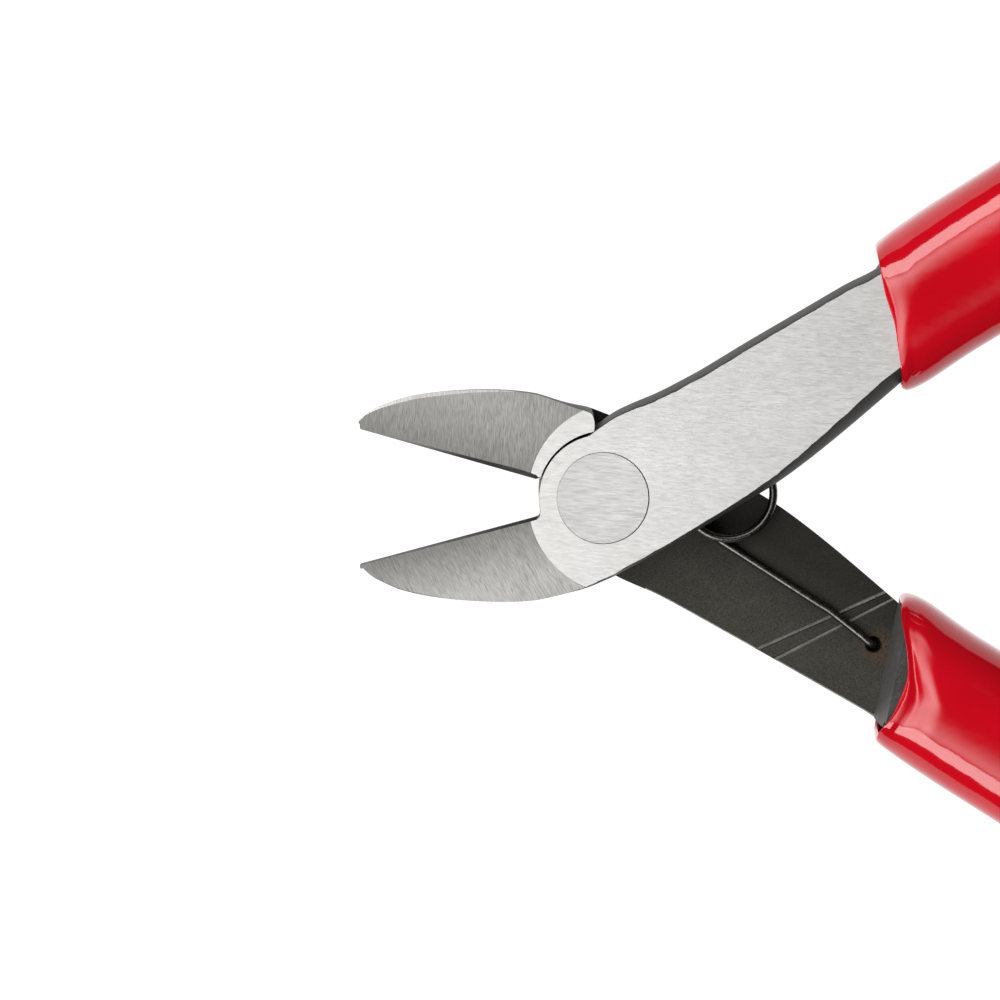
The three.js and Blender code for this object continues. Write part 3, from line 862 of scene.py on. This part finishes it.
def mouth_x(y, z):
    """Where the sleeve begins: a slanted, slightly bowed line on its front, hollowed on its rear."""
    slant = (MOUTH_HIGH[0] - MOUTH_LOW[0]) / (MOUTH_HIGH[1] - MOUTH_LOW[1])
    bow = MOUTH_BOW * math.exp(-(((y - MOUTH_BOW_Y) / MOUTH_BOW_SPREAD) ** 2))
    line = MOUTH_LOW[0] + (y - MOUTH_LOW[1]) * slant + bow
    square = MOUTH_HOLLOW_R**2 - (y - MOUTH_HOLLOW_CENTRE[1]) ** 2
    hollow = MOUTH_HOLLOW_CENTRE[0] + math.sqrt(max(square, 0))
    blend = np.clip((-z - 1.0) / 1.6, 0, 1)
    blend = blend * blend * (3 - 2 * blend)
    behind = hollow - line
    return line + (behind + math.hypot(behind, 0.15)) / 2 * blend


def sleeve_shape(side, material):
    """Dipped sleeve: from inside over the rolled lip of its mouth, along the handle to the closed end."""
    sweep = Sweep(SLEEVE_SHIFT[side])
    angles = np.arange(112) * 2 * math.pi / 112

    def start_share(angle):
        """How far along the centre line the mouth lies at this angle."""
        low, high = 0.0, 0.12
        for _ in range(30):
            middle = (low + high) / 2
            x, y, z = sweep.point(middle, angle, 4)
            if x < mouth_x(y, z):
                low = middle
            else:
                high = middle
        return high

    starts = [start_share(angle) for angle in angles]

    def pull(depth, angle):
        """How far the vinyl is drawn in towards the lever at a distance from the mouth."""
        towards_back = math.cos(angle)
        reach = 1.15 + 0.6 * towards_back
        front_side = 0.34 * (0.6 + 0.4 * towards_back) * math.exp(-((depth / reach) ** 2))
        rise = np.clip((depth - 1.0) / 2.8, 0, 1)
        fold = 0.1 * math.exp(-(((depth - 1.1) / 0.45) ** 2))
        rear_side = 0.4 * (1 - rise * rise * (3 - 2 * rise)) + fold
        edges = 0.22 * math.exp(-depth / 1.1)
        rear = 0.5 - 0.5 * math.sin(angle)
        faces = front_side * (1 - rear) + rear_side * rear
        flat = math.sin(angle) ** 2
        inner = max(0, -math.cos(angle)) ** 2
        bulge = SLEEVE_BULGE[side] * math.exp(-(((depth - 2.6) / 3.8) ** 2))
        bulge *= 1 - 0.6 * math.exp(-depth / 0.6)
        return faces * flat + edges * (1 - flat) - bulge * inner

    def ring_at(depth, exponent, inset=0.0, closing=1.0):
        found = []
        for s, a in zip(starts, angles):
            share = s + depth / SLEEVE_LENGTH * (1 - s)
            found.append(tuple(sweep.point(share, a, exponent, inset + pull(depth, a), closing)))
        return found

    rings = [ring_at(depth, 7, inset) for depth, inset in ((3.0, 0.75), (1.2, 0.62), (0.55, 0.6))]
    for turn in np.linspace(0, math.pi, 9):
        blend = (1 + math.cos(turn)) / 2
        exponent = MOUTH_EXPONENT + (7 - MOUTH_EXPONENT) * blend
        rings.append(ring_at(MOUTH_LIP * (1 - math.sin(turn)), exponent, SLEEVE_WALL * blend))
    near = 0.42 + 7 * np.linspace(0, 1, 26) ** 1.4
    for depth in (*near, *np.linspace(8.2, SLEEVE_DOME * SLEEVE_LENGTH, 44)):
        eased = np.clip((depth - 0.2) / 2.0, 0, 1)
        eased *= eased * (3 - 2 * eased)
        rings.append(ring_at(depth, MOUTH_EXPONENT + (BODY_EXPONENT - MOUTH_EXPONENT) * eased))
    for turn in np.linspace(0.05, 0.97, 12) * math.pi / 2:
        share = SLEEVE_DOME + (1 - SLEEVE_DOME) * math.sin(turn)
        rings.append(ring_at(SLEEVE_LENGTH * share, BODY_EXPONENT, 0, math.cos(turn)))
    obj = rings_solid("sleeve", rings, material)
    smooth(obj, 50)
    return obj


for side in LOOKS:
    sleeve = sleeve_shape(side, VINYL)
    sleeve.name = sleeve.data.name = f"{side}_sleeve"
    place(sleeve, side)
    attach(sleeve, side)
    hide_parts(f"{side}_grip")

# ---------------------------------------------------------------- floor, lights and camera

FLOOR_Z = CAD_BOX[0][2]


def studio_floor():
    m = Nodes("pale_floor")
    m.set(Base_Color=(0.1, 0.1, 0.1, 1), Roughness=1.0)
    m.set(Emission_Color=(1, 1, 1, 1), Emission_Strength=1.0)
    corners = [(-3, -3, FLOOR_Z), (3, -3, FLOOR_Z), (3, 3, FLOOR_Z), (-3, 3, FLOOR_Z)]
    new_object("floor", corners, [(0, 1, 2, 3)], m.material)


def strip_light(azimuth):
    """Rectangle that faces the pivot, its long side level."""
    name = f"strip_{azimuth}"
    data = bpy.data.lights.new(name, "AREA")
    data.shape = "RECTANGLE"
    data.size, data.size_y, data.energy = STRIP_LENGTH, STRIP_WIDTH, STRIP_POWER
    light = bpy.data.objects.new(name, data)
    bpy.context.scene.collection.objects.link(light)
    a, e = math.radians(azimuth), math.radians(STRIP_ELEVATION)
    towards = Vector((math.cos(a) * math.cos(e), math.sin(a) * math.cos(e), math.sin(e)))
    light.location = STRIP_DISTANCE * towards
    light.rotation_euler = light.location.to_track_quat("Z", "Y").to_euler()
    light.visible_camera = False


def camera_at_photo_angle():
    tilt = math.radians(CAMERA_TILT)
    camera = bpy.data.objects.new("camera", bpy.data.cameras.new("camera"))
    bpy.context.scene.collection.objects.link(camera)
    bpy.context.scene.camera = camera
    camera.data.lens = camera.data.sensor_width * CAMERA_DISTANCE / VIEW_WIDTH
    camera.data.clip_start = 0.01
    aim = Vector((*CAMERA_AIM, MID_Z)) * MM
    camera.location = aim + CAMERA_DISTANCE * Vector((0, math.sin(tilt), math.cos(tilt)))
    camera.rotation_euler = (-tilt, 0, 0)


def studio_world():
    """Dim surroundings with a glow above each strip, strongest next to it and gone at the zenith."""
    world = bpy.data.worlds.new("studio")
    world.use_nodes = True
    tree = world.node_tree

    def node(kind, *inputs, **settings):
        made = tree.nodes.new(f"ShaderNode{kind}")
        for key, value in settings.items():
            setattr(made, key, value)
        for socket, value in zip(made.inputs, inputs):
            if isinstance(value, bpy.types.NodeSocket):
                tree.links.new(value, socket)
            elif value is not None:
                socket.default_value = value
        return made.outputs

    def ramp(value, ends, low, high):
        return node("MapRange", value, *ends, low, high, interpolation_type="SMOOTHSTEP")[0]

    def times(a, b):
        return node("Math", a, b, operation="MULTIPLY")[0]

    direction = tree.nodes.new("ShaderNodeTexCoord").outputs["Generated"]
    up = node("SeparateXYZ", direction)["Z"]
    total = SKY
    for azimuth in (*STRIP_AZIMUTHS, 180):
        x, y = math.cos(math.radians(azimuth)), math.sin(math.radians(azimuth))
        ahead = node("VectorMath", direction, (x, y, 0), operation="DOT_PRODUCT")["Value"]
        aside = node("VectorMath", direction, (-y, x, 0), operation="DOT_PRODUCT")["Value"]
        elevation = node("Math", up, ahead, operation="ARCTAN2")[0]
        rise = ramp(elevation, [math.radians(end) for end in GLOW_RISE], 0.0, 1.0)
        fall = ramp(elevation, [math.radians(end) for end in GLOW_FALL], 1.0, 0.0)
        side = ramp(node("Math", aside, operation="ABSOLUTE")[0], GLOW_SIDE, 1.0, 0.0)
        total = node("Math", times(times(times(rise, fall), side), GLOW), total)[0]
    background = tree.nodes["Background"]
    tree.links.new(total, background.inputs["Strength"])
    background.inputs["Color"].default_value = (1, 1, 1, 1)
    bpy.context.scene.world = world


studio_floor()
for azimuth in STRIP_AZIMUTHS:
    strip_light(azimuth)
camera_at_photo_angle()
studio_world()
bpy.context.scene.view_settings.view_transform = "Standard"
